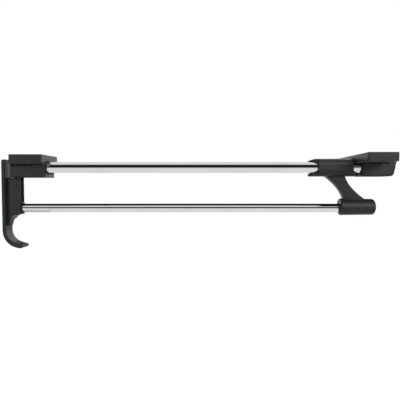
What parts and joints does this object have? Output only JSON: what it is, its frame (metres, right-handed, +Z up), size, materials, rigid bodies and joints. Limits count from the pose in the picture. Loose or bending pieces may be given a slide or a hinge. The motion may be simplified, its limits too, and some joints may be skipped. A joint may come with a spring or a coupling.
{
  "type": "closet valet rod",
  "caption": "Pull-out valet rod that screws under a closet shelf: a carriage slides on an oval guide tube and carries a round hanging rod with a handle and curved finger lip.",
  "frame": {"origin": "middle of the front bracket's flat top face, on the underside of the shelf", "axes": "+X along the tubes towards the rear bracket, +Y across them, +Z up into the shelf"},
  "size_m": [0.44, 0.0928, 0.1048],
  "materials": {
    "black_plastic": "moulded, fine satin texture",
    "black_nylon": "smooth, unpolished",
    "black_rubber": "dull",
    "chromed_tube": "mirror polished",
    "zinc_plated_steel": "plain plated"
  },
  "bodies": {
    "mounting": {"front_bracket": "black_plastic", "rear_bracket": "black_plastic", "guide_tube": "chromed_tube", "front_guide_insert": "black_nylon", "rear_guide_insert": "black_nylon", "front_guide_screw": "zinc_plated_steel", "rear_guide_screw": "zinc_plated_steel", "front_buffer": "black_rubber", "rear_buffer": "black_rubber"},
    "pull_out": {"carriage": "black_plastic", "front_glide_bush": "black_nylon", "rear_glide_bush": "black_nylon", "barrel_cap": "black_plastic", "hanging_rod": "chromed_tube", "front_rod_insert": "black_nylon", "rear_rod_insert": "black_nylon", "rear_rod_screw": "zinc_plated_steel", "handle_block": "black_plastic", "handle_plate": "black_plastic", "front_rod_screw": "zinc_plated_steel", "plate_screw": "zinc_plated_steel", "rod_screw_cover": "black_plastic", "plate_screw_cover": "black_plastic"}
  },
  "joints": [
    {"name": "carriage_slide", "type": "slide", "parent": "mounting", "child": "pull_out", "axis": [-1, 0, 0], "range_m": [0, 0.292]}
  ]
}
